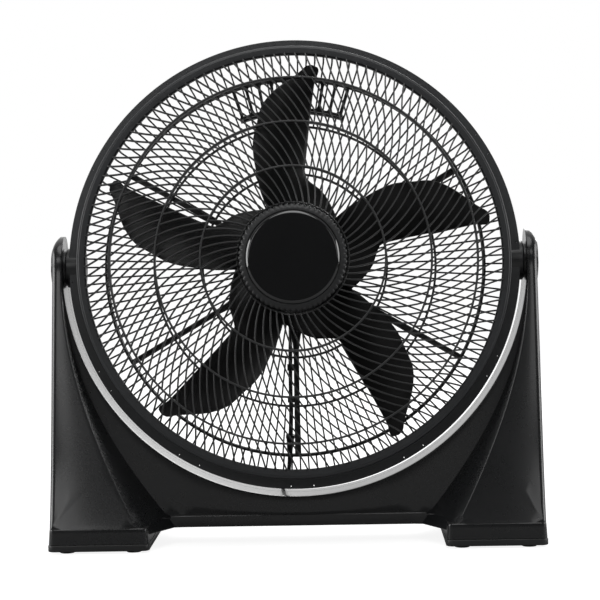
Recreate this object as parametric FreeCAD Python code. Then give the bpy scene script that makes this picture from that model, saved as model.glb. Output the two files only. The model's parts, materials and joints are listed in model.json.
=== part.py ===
# Drum floor fan: a round guarded fan head that tilts between the two towers of a U-shaped stand.
# Millimetres, +Z up, the front of the fan faces -Y.
# The origin is on the floor, at the centre of the rectangle that the two feet cover.
import FreeCAD, Part
import os
from math import sin, cos, tan, pi, radians, degrees
from FreeCAD import Vector

# ---- driving dimensions ----
pivotHeight = 344.0        # tilt axis above the floor
restTilt = 7.0             # the head looks up by this angle at rest, in degrees
standWidth = 600.0         # over the outer faces of the towers
footDepth = 216.0
cradleRadius = 287.0       # inner face of the U, round the middle of the tilt axis
cradleDepth = 72.0         # the U and its arms, front to back
wall = 2.6                 # moulded wall of the stand shells
drumFlangeRadius = 280.0   # widest circle of the head
bezelOpening = 256.0       # radius of the front opening
bladeTipRadius = 249.5
bladeCount = 5
shaftRadius = 4.0
runningFit = 0.05          # radial clearance where one part turns in another
bodyGap = 0.4              # room between parts that turn past each other
cordDiameter = 5.0

# ---- stand ----
halfWidth = standWidth / 2
halfFoot = footDepth / 2
halfCradle = cradleDepth / 2
armRise = 3.5              # the arms' round ends start this far above the tilt axis
cradleBottom = 20.5
padHeight = 3.0
plateTop = 11.0            # foot plate over the pads
footTop = 30.0             # seam between foot and tower
seamY = 10.0               # seam between the front and the rear stand shell
footInnerX = 181.0
shoulderHeight = 337.0     # where the towers' inner edges start to curve in

# ---- head, measured along its own axis from the tilt axis, front is negative ----
bezelFront = -50.0
flangeFront = -22.0
flangeSeam = -19.0
drumRear = 18.0
bezelOuter = 267.5
drumWall = 3.0
windowCount = 150          # the drum wall is a row of ribs
windowWidth = 8.4
ringRadii = (68.0, 113.0, 169.0, 225.4, 258.0)
ringDepths = (-79.0, -76.0, -70.0, -62.0, -50.0)
ribCounts = (60, 80, 110, 125)
ribWidth = 1.9
ribDepth = 5.0
rearRings = (72.0, 116.0, 177.0, 238.0)
rearCounts = (72, 100, 135)
rearFace = 14.0            # front face of the rear grille
clipCount = 12
clipPhase = 1.3            # angle of the first snap clip, in degrees
armCount = 6
bossRadius = 27.0
washerRadius = 22.0
stemRadius = 3.0           # switch stem under the knob
stemFlat = 1.8             # from the stem's axis to its flat

axisX, axisY, axisZ = Vector(1, 0, 0), Vector(0, 1, 0), Vector(0, 0, 1)
pivot = Vector(0, 0, pivotHeight)


def cylinder(radius, length, base, axis):
    return Part.makeCylinder(radius, length, Vector(*base), axis)


def tube(outer, inner, length, base, axis):
    return cylinder(outer, length, base, axis).cut(cylinder(inner, length, base, axis))


def box(low, high):
    size = [b - a for a, b in zip(low, high)]
    return Part.makeBox(*size, Vector(*low))


def fused(shapes):
    return shapes[0].multiFuse(shapes[1:]).removeSplitter()


def biggest(shape):
    return max(shape.Solids, key=lambda solid: solid.Volume)


def turned(shape, angle, axis=axisY, centre=Vector(0, 0, 0)):
    out = shape.copy()
    out.rotate(centre, axis, angle)
    return out


def polar(radius, angle, y=0.0):
    """A point of the head, at an angle in degrees that runs from +X towards +Z."""
    return Vector(radius * cos(radians(angle)), y, radius * sin(radians(angle)))


def spun(outline):
    """A ring turned round the head's axis from (radius, depth) corners."""
    corners = [Vector(r, y, 0) for r, y in outline]
    face = Part.Face(Part.makePolygon(corners + corners[:1]))
    return face.revolve(Vector(0, 0, 0), axisY, 360)


def roundedWire(corners, radii):
    """A closed wire through corners, each rounded by its own radius."""
    starts, arcs = [], []
    count = len(corners)
    for i, corner in enumerate(corners):
        back = (corners[i - 1] - corner).normalize()
        ahead = (corners[(i + 1) % count] - corner).normalize()
        half = back.getAngle(ahead) / 2
        reach = radii[i] / tan(half)
        middle = corner + (back + ahead).normalize() * (radii[i] / sin(half) - radii[i])
        first, last = corner + back * reach, corner + ahead * reach
        arcs.append(Part.Arc(first, middle, last).toShape())
        starts.append((first, last))
    edges = []
    for i in range(count):
        edges.append(arcs[i])
        edges.append(Part.LineSegment(starts[i][1], starts[(i + 1) % count][0]).toShape())
    return Part.Wire(edges)


# ---- stand ----
def creaseX(z):
    """Distance from the middle to the front inner edge of a tower at height z."""
    drop = shoulderHeight - z
    return 287.5 - 0.00125 * drop ** 2 + 8e-7 * drop ** 3


def towerSection(z, inset):
    """Horizontal section of the left tower, wide in front and behind, waisted at the cradle."""
    rise = (z - footTop) / (pivotHeight - footTop)
    front = halfFoot - 2 + (halfCradle - halfFoot + 2) * rise ** 0.9 - inset
    crease = -creaseX(z) - inset
    lean = 34 * max(0.0, 1 - rise * 1.25) ** 2
    inner = crease + lean + 0.3
    waist = min(halfCradle - inset, front - 0.5)
    outer = -halfWidth + inset
    corners = [(outer, -front), (crease, -front), (inner, -waist), (inner, waist),
               (crease, front), (outer, front)]
    radii = [7, 1.2, 0.2, 0.2, 1.2, 7]
    if inset:
        radii = [5, 0.6, 0.2, 0.2, 0.6, 5]
    return roundedWire([Vector(x, y, z) for x, y in corners], radii)


def tower(inset):
    heights = [footTop, 75, 125, 180, 235, 290, pivotHeight]
    return Part.makeLoft([towerSection(z, inset) for z in heights], True, False)


def standBody(inset):
    """The whole U: cradle, two arms with round ends and two towers."""
    ring = cradleRadius + inset
    deep = halfCradle - inset
    wide = halfWidth - inset
    cradle = box((-wide, -deep, cradleBottom + inset), (wide, deep, pivotHeight))
    cradle = cradle.cut(cylinder(ring, 2 * cradleDepth, (0, -cradleDepth, pivotHeight), axisY))
    left = tower(inset)
    parts = [cradle, left, left.mirror(Vector(0, 0, 0), axisX)]
    for x in (-wide, ring):
        parts.append(box((x, -deep, pivotHeight - 1), (x + wide - ring, deep, pivotHeight + armRise)))
        parts.append(cylinder(deep, wide - ring, (x, 0, pivotHeight + armRise), axisX))
    return fused(parts)


def screwPlaces():
    return [(side * x, z) for side in (-1, 1) for x, z in ((95, 41), (205, 60), (262, 150))]


def stand():
    shell = standBody(0).cut(standBody(wall))
    posts, bores = [], []
    for x, z in screwPlaces():
        posts.append(cylinder(5, cradleDepth - 2 * wall, (x, -halfCradle + wall, z), axisY))
        bores.append(cylinder(2, cradleDepth, (x, -halfCradle + 12, z), axisY))
        bores.append(cylinder(4.5, 3, (x, halfCradle - 1.5, z), axisY))
    for side in (-1, 1):
        bores.append(cylinder(shaftRadius, 20, (side * 292 - 10, 0, pivotHeight), axisX))
        bores.append(cylinder(12, 10, (side * halfWidth - 5, 0, pivotHeight), axisX))
        bores.append(cylinder(washerRadius + 0.2, 4, (side * (cradleRadius - 2) - 2, 0, pivotHeight), axisX))
        inner, outer = sorted((side * (footInnerX - 0.5), side * (halfWidth + 1)))
        bores.append(box((inner, -halfFoot, 0), (outer, halfFoot, footTop)))
    shell = fused([shell] + posts).cut(Part.makeCompound(bores))
    front = shell.common(box((-400, -200, 0), (400, seamY, 500)))
    rear = shell.common(box((-400, seamY, 0), (400, 200, 500)))
    return biggest(front), biggest(rear)


def standScrews():
    screws = []
    for x, z in screwPlaces():
        shank = cylinder(2, halfCradle + 20, (x, -20, z), axisY)
        head = cylinder(4.5, 1.5, (x, halfCradle - 1.5, z), axisY)
        screws.append(shank.fuse(head).removeSplitter())
    return Part.makeCompound(screws)


def footOutline(side, inset, z, grow=0.0):
    xs = sorted((side * (halfWidth + grow - inset), side * (footInnerX - grow + inset)))
    y = halfFoot - 2 + grow - inset
    corners = [(xs[0], -y), (xs[1], -y), (xs[1], y), (xs[0], y)]
    return roundedWire([Vector(a, b, z) for a, b in corners], [max(7 - inset, 1)] * 4)


def foot(side):
    """Hollow foot under a tower; its floor is closed by the foot plate."""
    def prism(inset, low, high):
        wires = [footOutline(side, inset, low, 1.2), footOutline(side, inset, high)]
        return Part.makeLoft(wires, True, True)
    return prism(0, plateTop, footTop).cut(prism(wall, plateTop, footTop - wall))


def footPlate(side):
    plate = Part.Face(footOutline(side, 0, padHeight, 2.0)).extrude(axisZ * (plateTop - padHeight))
    pockets = []
    for x, y in padPlaces(side):
        pockets.append(cylinder(9, 1.5, (x, y, padHeight), axisZ))
    return plate.cut(Part.makeCompound(pockets))


def padPlaces(side):
    return [(side * x, y) for x in (footInnerX + 18, halfWidth - 20) for y in (-90, 90)]


def rubberPads():
    pads = []
    for side in (-1, 1):
        for x, y in padPlaces(side):
            pads.append(cylinder(9, padHeight + 1.5, (x, y, 0), axisZ))
    return Part.makeCompound(pads)


def pivotCap(side):
    disc = cylinder(26, 2.6, (halfWidth, 0, pivotHeight), axisX)
    disc = disc.makeFillet(1.2, [e for e in disc.Edges if e.CenterOfMass.x > halfWidth + 2 and e.Closed])
    plug = cylinder(12, wall, (halfWidth - wall, 0, pivotHeight), axisX)
    cap = disc.fuse(plug).removeSplitter()
    return cap if side > 0 else cap.mirror(Vector(0, 0, 0), axisX)


def pivotBolt(side):
    inner = cradleRadius + wall
    shank = cylinder(shaftRadius, inner - 268, (268, 0, pivotHeight), axisX)
    head = cylinder(9, 5, (inner, 0, pivotHeight), axisX)
    bolt = shank.fuse(head).removeSplitter()
    return bolt if side > 0 else bolt.mirror(Vector(0, 0, 0), axisX)


def frictionWasher(side):
    washer = tube(washerRadius, shaftRadius, 2.0, (cradleRadius - 2.0, 0, pivotHeight), axisX)
    return washer if side > 0 else washer.mirror(Vector(0, 0, 0), axisX)


# ---- head, drawn upright round the tilt axis and tilted at the end ----
def clipSlots():
    slots = []
    for k in range(clipCount):
        for offset in (-2.9, 2.9):
            slot = box((274, flangeFront - 1, -0.8), (278.5, flangeSeam + 6, 0.8))
            slots.append(turned(slot, -(clipPhase + 30 * k + offset)))
    return Part.makeCompound(slots)


def frontBezel():
    """Front ring: rounded face, side wall and the flange that the clips hold."""
    r0, r1, r2 = bezelOpening, bezelOuter, drumFlangeRadius
    ring = spun([(r0, bezelFront + 3), (r0 + 3, bezelFront), (r1 - 3, bezelFront), (r1, bezelFront + 3),
                 (r1, flangeFront), (r2, flangeFront), (r2, flangeSeam), (r1 - 2.5, flangeSeam),
                 (r1 - 2.5, bezelFront + 4), (r0 + 4, bezelFront + 4), (r0 + 4, bezelFront + 9),
                 (r0, bezelFront + 9)])
    return ring.cut(clipSlots())


def drumHousing():
    """Flange behind the bezel and the row of ribs that carries the rear grille."""
    r1, r2 = bezelOuter - 2.0, drumFlangeRadius
    ring = spun([(r1 - drumWall, flangeSeam), (r2, flangeSeam), (r2, flangeSeam + 4), (r1, flangeSeam + 4),
                 (r1, drumRear - 3), (r1 - drumWall, drumRear)])
    windows = []
    for k in range(windowCount):
        window = box((r1 - 8, flangeSeam + 6.5, -windowWidth / 2), (r1 + 5, drumRear + 1, windowWidth / 2))
        windows.append(turned(window, -360 / windowCount * (k + 0.5)))
    return ring.cut(Part.makeCompound(windows)).cut(clipSlots())


def grilleClips():
    clips = []
    r2 = drumFlangeRadius
    for k in range(clipCount):
        angle = clipPhase + 30 * k
        hook = box((r2 - 5.2, flangeSeam + 4, -12), (r2, flangeSeam + 9, 12))
        clips.append(turned(hook, -angle))
    return Part.makeCompound(clips)


def opening(inner, outer, count, index, twist, width):
    """One hole between two ribs: two ring arcs joined by two rib sides."""
    step = 360.0 / count

    def side(radius, sign):
        base = step * (index + (0 if sign > 0 else 1)) + twist * (radius - inner)
        return base + sign * degrees(width / 2 / radius)

    middle = (inner + outer) / 2
    corners = [(inner, 1), (outer, 1), (outer, -1), (inner, -1)]
    p = [polar(r, side(r, s)) for r, s in corners]
    a0, a1 = side(inner, 1), side(inner, -1)
    b0, b1 = side(outer, 1), side(outer, -1)
    edges = [Part.Arc(p[0], polar(middle, side(middle, 1)), p[1]).toShape() if twist
             else Part.LineSegment(p[0], p[1]).toShape(),
             Part.Arc(p[1], polar(outer, (b0 + b1) / 2), p[2]).toShape(),
             Part.Arc(p[2], polar(middle, side(middle, -1)), p[3]).toShape() if twist
             else Part.LineSegment(p[2], p[3]).toShape(),
             Part.Arc(p[3], polar(inner, (a0 + a1) / 2), p[0]).toShape()]
    return Part.Wire(edges)


def toothedRim(radius, reach, count):
    """Outline of a ring's outer edge with a rib standing out from it at every step."""
    points = []
    for i in range(count):
        for r, sign in ((radius, -1), (reach, -1), (reach, 1), (radius, 1)):
            points.append(polar(r, 360.0 * i / count + sign * degrees(ribWidth / 2 / r)))
    return Part.makePolygon(points + points[:1])


def ribbedPlate(rings, rims, counts, twists, y, depth, outline=None):
    """A flat plate of ribs between rings, each ring as wide as twice its rim, as one moulding."""
    edges = (rings[-1] + rims[-1], rings[0] - rims[0])
    wires = [Part.Wire(Part.makeCircle(r, Vector(0, 0, 0), axisY)) for r in edges]
    if outline:
        wires[0] = outline
    for k, count in enumerate(counts):
        inner, outer = rings[k] + rims[k], rings[k + 1] - rims[k + 1]
        wires += [opening(inner, outer, count, i, twists[k], ribWidth) for i in range(count)]
    face = Part.Face(wires)
    face.validate()
    face.translate(axisY * y)
    return face.extrude(axisY * depth)


def frontGrille():
    """Spiral ribs in four stepped bands between five rings."""
    parts = []
    twists = (0.24, 0.23, 0.217, 0.13)
    for k, count in enumerate(ribCounts):
        y = (ringDepths[k] + ringDepths[k + 1]) / 2
        parts.append(ribbedPlate(ringRadii[k:k + 2], (1.4, 1.4), (count,), twists[k:k + 1], y, ribDepth))
    for radius, y in zip(ringRadii[1:-1], ringDepths[1:-1]):
        parts.append(tube(radius + 1.3, radius - 1.3, 16, (0, y - 5, 0), axisY))
    return fused(parts)


def hubRing():
    """Fluted ring in the middle of the front grille."""
    ring = tube(66.6, 57.2, 10, (0, -84, 0), axisY)
    flutes = []
    for k in range(60):
        flutes.append(turned(cylinder(1.1, 12, (66.9, -85, 0), axisY), 6 * k))
    return ring.cut(Part.makeCompound(flutes))


def hubCap():
    disc = cylinder(57.0, 9, (0, -86, 0), axisY)
    disc = disc.makeFillet(3.0, [e for e in disc.Edges if e.CenterOfMass.y < -85 and e.Length > 300])
    return disc


def rearGrille():
    """Straight ribs between four rings and out to the drum's own ribs, in one plane."""
    rim = 1.4
    outline = toothedRim(rearRings[-1] + rim, bezelOuter - 2.0 - drumWall, windowCount)
    return ribbedPlate(rearRings, (rim, rim, rim, rim), rearCounts, (0, 0, 0), rearFace, 4.0, outline)


def rearSpider():
    """Six arms that carry the motor, between its ring and the third grille ring."""
    y, deep = drumRear, 6.0
    parts = [tube(76, 58, deep, (0, y, 0), axisY), tube(240, 236, deep, (0, y, 0), axisY)]
    for k in range(armCount):
        corners = [Vector(70, y, -13), Vector(108, y, -3.4), Vector(237, y, -3.4),
                   Vector(237, y, 3.4), Vector(108, y, 3.4), Vector(70, y, 13)]
        arm = Part.Face(Part.makePolygon(corners + corners[:1])).extrude(axisY * deep)
        parts.append(turned(arm, -(30 + 60 * k)))
    return fused(parts).cut(coverScrewBores())


def carryHandle():
    """Arched grip behind the top of the rear grille, on a leg at each end."""
    face = Part.Face(Part.makePolygon([Vector(r, y, 0) for r, y in
                                       ((201, 46), (205.5, 46), (206.5, 48), (206.5, 56), (205.5, 58),
                                        (201, 58), (200, 56), (200, 48), (201, 46))]))
    grip = turned(face.revolve(Vector(0, 0, 0), axisY, -38), -71.5)
    legs = []
    for angle in (72.5, 108.5):
        legs.append(turned(box((200.5, drumRear, -2.6), (236, 56, 2.6)), -angle))
        legs[-1] = legs[-1].cut(turned(box((206, drumRear + 8, -6), (240, 60, 6)), -angle))
    return fused([grip] + legs)


def pivotBoss(side, keepOut):
    """Round boss on the side of the drum, bored for the pivot bolt."""
    start = bezelOuter - 2.0 - drumWall
    boss = cylinder(bossRadius, cradleRadius - 2.0 - bodyGap - start, (start, 0, 0), axisX)
    boss = boss.cut(cylinder(shaftRadius + runningFit, 40, (250, 0, 0), axisX))
    boss = boss if side > 0 else boss.mirror(Vector(0, 0, 0), axisX)
    return biggest(boss.cut(keepOut))


# ---- motor and controls, on the head's axis ----
motorRadius = 52.0
statorHalf = 16.0          # half the length of the stack
statorMiddle = 14.0        # depth of the middle of the stack


def motorFrontCover():
    """Steel cup in front of the stator with the front bearing seat."""
    end = statorMiddle - statorHalf - 22
    return spun([(motorRadius, statorMiddle), (motorRadius, end + 4), (motorRadius - 4, end), (6, end),
                 (6, end + 2), (9, end + 2), (9, end + 9), (13, end + 9), (13, end + 2.5),
                 (motorRadius - 5, end + 2.5), (motorRadius - 2, end + 5.5), (motorRadius - 2, statorMiddle)])


def motorRearBracket():
    """Steel cup behind the stator with the rear bearing seat and the mounting flange."""
    end = statorMiddle + statorHalf + 22
    return spun([(motorRadius, statorMiddle), (motorRadius, drumRear + 6), (70, drumRear + 6),
                 (70, drumRear + 8.5), (motorRadius, drumRear + 8.5), (motorRadius, end - 4),
                 (motorRadius - 4, end), (6, end), (6, end - 2), (9, end - 2), (9, end - 9), (13, end - 9),
                 (13, end - 2.5), (motorRadius - 5, end - 2.5), (motorRadius - 2, end - 5.5),
                 (motorRadius - 2, statorMiddle)]).cut(coverScrewBores())


def motorRearCover():
    """Moulded cover over the motor, the switch and the capacitor, with cooling slots."""
    y0, y1 = drumRear + 8.5, 84.0
    cover = spun([(74, y0), (72, y0 + 34), (64, y1 - 6), (56, y1), (0, y1), (0, y1 - 2.5), (55, y1 - 2.5),
                  (62, y1 - 8), (69.5, y0 + 33), (71.5, y0 + 2.5), (70.3, y0 + 2.5), (70.3, y0)])
    slots = []
    for k in range(24):
        slots.append(turned(box((66, y0 + 10, -1.6), (78, y0 + 28, 1.6)), 15 * k + 7.5))
    slots.append(cylinder(4, 10, (0, y1 - 5, 0), axisY))
    slots.append(cylinder(3.2, 20, (leadRoute[0].x, leadRoute[0].y, -82), axisZ))
    return cover.cut(Part.makeCompound(slots))


def statorCore():
    y = statorMiddle - statorHalf
    core = tube(motorRadius - 2, 28.6, 2 * statorHalf, (0, y, 0), axisY)
    slots = []
    for k in range(16):
        slots.append(turned(box((30, y - 1, -2.2), (40, y + 2 * statorHalf + 1, 2.2)), 22.5 * k))
    return core.cut(Part.makeCompound(slots))


def statorWindings():
    rings = []
    for y in (statorMiddle - statorHalf - 11, statorMiddle + statorHalf):
        rings.append(spun([(30, y), (43, y), (45, y + 3), (45, y + 8), (43, y + 11), (30, y + 11)]))
    return Part.makeCompound(rings)


def bearing(y):
    return tube(9, shaftRadius + runningFit, 7, (0, y, 0), axisY)


def capacitor():
    block = box((22, 56, -18), (44, 72, 18))
    return block.makeFillet(2, block.Edges)


def switchBody():
    body = box((-15, 62, -15), (15, 81.5, 15))
    return body.cut(cylinder(stemRadius + runningFit, 12, (0, 70, 0), axisY))


def stemShape(grow):
    """D-shaped end of the switch stem, or the bore for it when grown."""
    stem = cylinder(stemRadius + grow, 11.5 + grow, (0, 86 - grow, 0), axisY)
    return stem.cut(box((-4, 85, stemFlat + grow), (4, 99, 4)))


def switchStem():
    return cylinder(stemRadius, 15.8, (0, 70.2, 0), axisY).fuse(stemShape(0)).removeSplitter()


def speedKnob():
    """Round knob with a grip bar and a D-shaped bore on the switch stem."""
    body = spun([(0, 86), (18, 86), (17.2, 98), (0, 98)])
    bar = box((-4, 96, -16), (4, 104, 16))
    return body.fuse(bar).removeSplitter().cut(stemShape(runningFit))


def coverScrewBores():
    bore = cylinder(2.1, 7, (61, drumRear + 2.5, 0), axisY)
    return Part.makeCompound([turned(bore, 90 * k) for k in range(4)])


def coverScrews():
    screws = []
    for k in range(4):
        screw = cylinder(2.0, 5.5, (0, drumRear + 3, 0), axisY)
        head = cylinder(3.6, 2.2, (0, drumRear + 8.5, 0), axisY)
        joined = screw.fuse(head).removeSplitter()
        joined.translate(Vector(61, 0, 0))
        screws.append(turned(joined, 90 * k))
    return Part.makeCompound(screws)


# ---- rotor ----
def bladePoint(radius, across, front, index):
    """A point of a blade's front or rear skin: across runs from 0 at the leading edge to 1."""
    shoulder = 180.0
    past = max(0.0, (radius - shoulder) / (bladeTipRadius + 1.5 - shoulder))
    chord = 66 * (1 - past ** 2)
    span = (radius - 62) / (bladeTipRadius - 62)
    pitch = radians(38 - 16 * span)
    rake = -16 - 2 * span
    camber = 5 * sin(pi * across) * (1 - past)
    along = chord * across
    angle = 82.9 + 72.1 * index + degrees(along * cos(pitch) * 1.12 / radius)
    depth = rake - along * sin(pitch) - camber + (0 if front else 1.8)
    return polar(radius, angle, depth)


def blade(index):
    """One swept blade: a front skin, a rear skin and four narrow edges."""
    radii = [62 + (bladeTipRadius - 62) * (k / 9) ** 0.9 for k in range(10)]
    skins = []
    for front in (True, False):
        surface = Part.BSplineSurface()
        surface.interpolate([[bladePoint(r, k / 6, front, index) for k in range(7)] for r in radii])
        skins.append(surface)
    faces = [skin.toShape() for skin in skins]
    for name in ("u0", "u1", "v0", "v1"):
        curves = []
        for skin in skins:
            u0, u1, v0, v1 = skin.bounds()
            iso = skin.uIso(u0 if name == "u0" else u1) if name[0] == "u" \
                else skin.vIso(v0 if name == "v0" else v1)
            curves.append(iso.toShape())
        faces.append(Part.makeRuledSurface(curves[0], curves[1]))
    shell = Part.makeShell(faces)
    shell.sewShape()
    solid = Part.makeSolid(Part.Shell(shell.Faces))
    if solid.Volume < 0:
        solid.reverse()
    return solid


def fanBlade():
    """Hub cup, shaft boss and five blades as one moulding."""
    hub = spun([(0, -66), (60, -66), (65, -61), (65, -16), (62.5, -16), (62.5, -60), (59, -63.5), (11, -63.5),
                (11, -36), (0, -36)])
    hub = hub.cut(cylinder(shaftRadius, 60, (0, -80, 0), axisY))
    return biggest(fused([hub] + [blade(k) for k in range(bladeCount)]))


def motorShaft():
    return cylinder(shaftRadius, 74 + statorMiddle + statorHalf + 20, (0, -74, 0), axisY)


def rotorCore():
    y = statorMiddle - statorHalf
    return tube(28, shaftRadius, 2 * statorHalf, (0, y, 0), axisY)


def bladeNut():
    """Left-hand nut that holds the blade on the shaft."""
    nut = spun([(shaftRadius, -66), (14, -66), (14, -69), (11, -74), (shaftRadius, -74)])
    ribs = [turned(box((9, -73, -1.2), (15.5, -66, 1.2)), 60 * k) for k in range(6)]
    return fused([nut] + ribs)


# ---- lead and cord ----
def routeTube(points, diameter):
    """A round lead along straight runs that are joined by tangent arcs."""
    arcs, radii = [], []
    for before, corner, after in zip(points, points[1:], points[2:]):
        back, ahead = (before - corner), (after - corner)
        short = min(back.Length, ahead.Length)
        back, ahead = back.normalize(), ahead.normalize()
        half = back.getAngle(ahead) / 2
        radius = 0.45 * short / tan(pi / 2 - half)
        reach = 0.45 * short
        bisector = (back + ahead).normalize()
        middle = corner + bisector * (radius / sin(half) - radius)
        arcs.append((corner + back * reach, middle, corner + ahead * reach))
        radii.append(radius)
    edges, at = [], points[0]
    for first, middle, last in arcs:
        edges.append(Part.LineSegment(at, first).toShape())
        edges.append(Part.Arc(first, middle, last).toShape())
        at = last
    edges.append(Part.LineSegment(at, points[-1]).toShape())
    path = Part.Wire(edges)
    start = (points[1] - points[0]).normalize()
    section = Part.Wire(Part.makeCircle(diameter / 2, points[0], start))
    solid = path.makePipeShell([section], True, True)
    print("tube radii", [round(r, 1) for r in radii], "length", round(path.Length, 1),
          "volume share", round(solid.Volume / (pi * diameter ** 2 / 4 * path.Length), 4))
    return solid


# motor lead, in the upright head: out of the cover, down beside the lowest arm to the strain relief
leadRoute = [Vector(-7.5, 46, -69), Vector(-7.5, 46, -84), Vector(-7.5, 30, -98),
             Vector(-7.5, 21.5, -112), Vector(-7.9, 21.6, -150), Vector(-7.5, 21.5, -186),
             Vector(-8.5, 23, -204), Vector(-9, 26, -212)]
# free cord at rest, in the stand: from above the rear edge of the cradle down to the coil
cordRoute = [Vector(-22, 57, 49), Vector(-23, 63, 32), Vector(-24, 76, 19), Vector(-22, 96, 11),
             Vector(-16, 120, 5.5), Vector(-5, 136, 2.7), Vector(14, 144.2, 2.7)]
coilCentre = Vector(14, 185, 0)
coilMiddleRadius = 28.0
coilWide = 20.0             # four turns side by side
coilHigh = 10.0             # two turns, one on the other


def cordCoil():
    inner, outer = coilMiddleRadius - coilWide / 2, coilMiddleRadius + coilWide / 2
    ring = tube(outer, inner, coilHigh, (coilCentre.x, coilCentre.y, 0), axisZ)
    return ring.makeFillet(2, [e for e in ring.Edges if e.CenterOfMass.z > coilHigh - 1 and e.Length > 50])


def powerPlug():
    """Moulded two-pin plug that lies beside the coil."""
    x, y = coilCentre.x + 44, coilCentre.y - 12
    body = box((x, y, 0), (x + 18, y + 30, 14))
    body = body.makeFillet(3, body.Edges)
    pins = [box((x + px, y + 29, 4.5), (x + px + 1.5, y + 46, 10)) for px in (3.5, 13)]
    return fused([body] + pins)


def leadClips():
    clips = []
    for z in (-128, -168):
        block = box((-11.5, drumRear, z - 4), (-3.4, 26, z + 4))
        clips.append(block.cut(cylinder(3.0, 12, (-7.7, 21.55, z - 6), axisZ)))
    return Part.makeCompound(clips)


def strainRelief():
    """Tapered grommet on the third ring that the cord leaves by."""
    back = (leadRoute[-2] - leadRoute[-1]).normalize()
    start = leadRoute[-1]
    cone = Part.makeCone(5.6, 3.6, 24, start, back * -1)
    collar = Part.makeCylinder(7.0, 5, start, back * -1)
    return cone.fuse(collar).removeSplitter()


def stubRoute():
    back = (leadRoute[-2] - leadRoute[-1]).normalize()
    first = leadRoute[-1] - back * 24
    return first, first - back * 14


def cordStub():
    first, last = stubRoute()
    return Part.makeCylinder(cordDiameter / 2, (last - first).Length, first, (last - first).normalize())


def build():
    parts = {}
    parts["stand_front_shell"], parts["stand_rear_shell"] = stand()
    parts["stand_screws"] = standScrews()
    for side, name in ((-1, "left"), (1, "right")):
        parts[name + "_foot"] = foot(side)
        parts[name + "_foot_plate"] = footPlate(side)
        parts[name + "_pivot_cap"] = pivotCap(side)
        parts[name + "_pivot_bolt"] = pivotBolt(side)
        parts[name + "_friction_washer"] = frictionWasher(side)
    parts["rubber_pads"] = rubberPads()

    head = {"front_bezel": frontBezel(), "drum_housing": drumHousing(), "grille_clips": grilleClips()}
    solidRing = head["front_bezel"].multiFuse([head["drum_housing"], head["grille_clips"]])
    for side, name in ((-1, "left"), (1, "right")):
        head[name + "_pivot_boss"] = pivotBoss(side, solidRing)
    head["front_grille"] = frontGrille()
    head["hub_ring"] = hubRing()
    head["hub_cap"] = hubCap()
    head["rear_grille"] = rearGrille()
    head["rear_spider"] = rearSpider()
    head["carry_handle"] = carryHandle()
    head["motor_front_cover"] = motorFrontCover()
    head["motor_rear_bracket"] = motorRearBracket()
    head["motor_rear_cover"] = motorRearCover()
    head["stator_core"] = statorCore()
    head["stator_windings"] = statorWindings()
    head["front_bearing"] = bearing(statorMiddle - statorHalf - 20)
    head["rear_bearing"] = bearing(statorMiddle + statorHalf + 13)
    head["capacitor"] = capacitor()
    head["speed_switch"] = switchBody()
    head["switch_stem"] = switchStem()
    head["cover_screws"] = coverScrews()
    head["motor_lead"] = routeTube(leadRoute, cordDiameter)
    head["lead_clips"] = leadClips()
    head["strain_relief"] = strainRelief()
    head["cord_stub"] = cordStub()
    head["fan_blade"] = fanBlade()
    head["motor_shaft"] = motorShaft()
    head["rotor_core"] = rotorCore()
    head["blade_nut"] = bladeNut()
    head["speed_knob"] = speedKnob()
    for name, shape in head.items():
        shape = shape.copy()
        shape.rotate(Vector(0, 0, 0), axisX, -restTilt)
        shape.translate(pivot)
        parts[name] = shape

    parts["power_cord"] = routeTube(cordRoute, cordDiameter)
    parts["cord_coil"] = cordCoil()
    parts["power_plug"] = powerPlug()
    return parts


os.makedirs("parts", exist_ok=True)
for name, shape in build().items():
    shape.exportStep("parts/" + name + ".step")
    solids = shape.Solids
    print(name, len(solids), shape.isValid(), round(sum(s.Volume for s in solids)))
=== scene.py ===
import json
from math import atan2, cos, degrees, pi, radians, sin, sqrt, tan

import bmesh
import bpy
from mathutils import Matrix, Vector


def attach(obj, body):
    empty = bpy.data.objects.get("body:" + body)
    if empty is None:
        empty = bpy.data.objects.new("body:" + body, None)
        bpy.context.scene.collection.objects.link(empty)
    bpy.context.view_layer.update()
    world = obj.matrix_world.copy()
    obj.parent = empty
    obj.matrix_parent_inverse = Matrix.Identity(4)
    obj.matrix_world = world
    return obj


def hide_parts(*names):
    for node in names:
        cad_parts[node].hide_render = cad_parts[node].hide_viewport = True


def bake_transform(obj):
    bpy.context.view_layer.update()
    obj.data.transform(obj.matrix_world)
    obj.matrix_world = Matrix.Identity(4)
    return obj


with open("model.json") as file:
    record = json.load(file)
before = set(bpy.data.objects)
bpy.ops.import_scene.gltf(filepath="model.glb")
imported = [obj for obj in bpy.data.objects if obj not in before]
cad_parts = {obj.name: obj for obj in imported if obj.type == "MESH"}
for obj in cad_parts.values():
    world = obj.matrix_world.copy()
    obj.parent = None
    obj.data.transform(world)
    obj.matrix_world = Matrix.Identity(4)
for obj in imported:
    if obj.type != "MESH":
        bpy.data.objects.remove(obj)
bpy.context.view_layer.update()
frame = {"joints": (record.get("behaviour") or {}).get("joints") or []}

mm = 0.001
joints = {joint["name"]: joint for joint in frame["joints"]}
pivot = Vector(joints["head_tilt"]["pos_m"])
spinAxis = joints["rotor_spin"]["axis"]
restTilt = atan2(spinAxis[2], -spinAxis[1])
pivotHeight = pivot.z / mm
standPlace = Matrix.Scale(mm, 4)  # pieces are drawn in millimetres
headPlace = Matrix.Translation(pivot) @ Matrix.Rotation(-restTilt, 4, "X") @ standPlace
sideways = Matrix.Rotation(-pi / 2, 4, "Z")  # turns a lathe's axis to face +X


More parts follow.
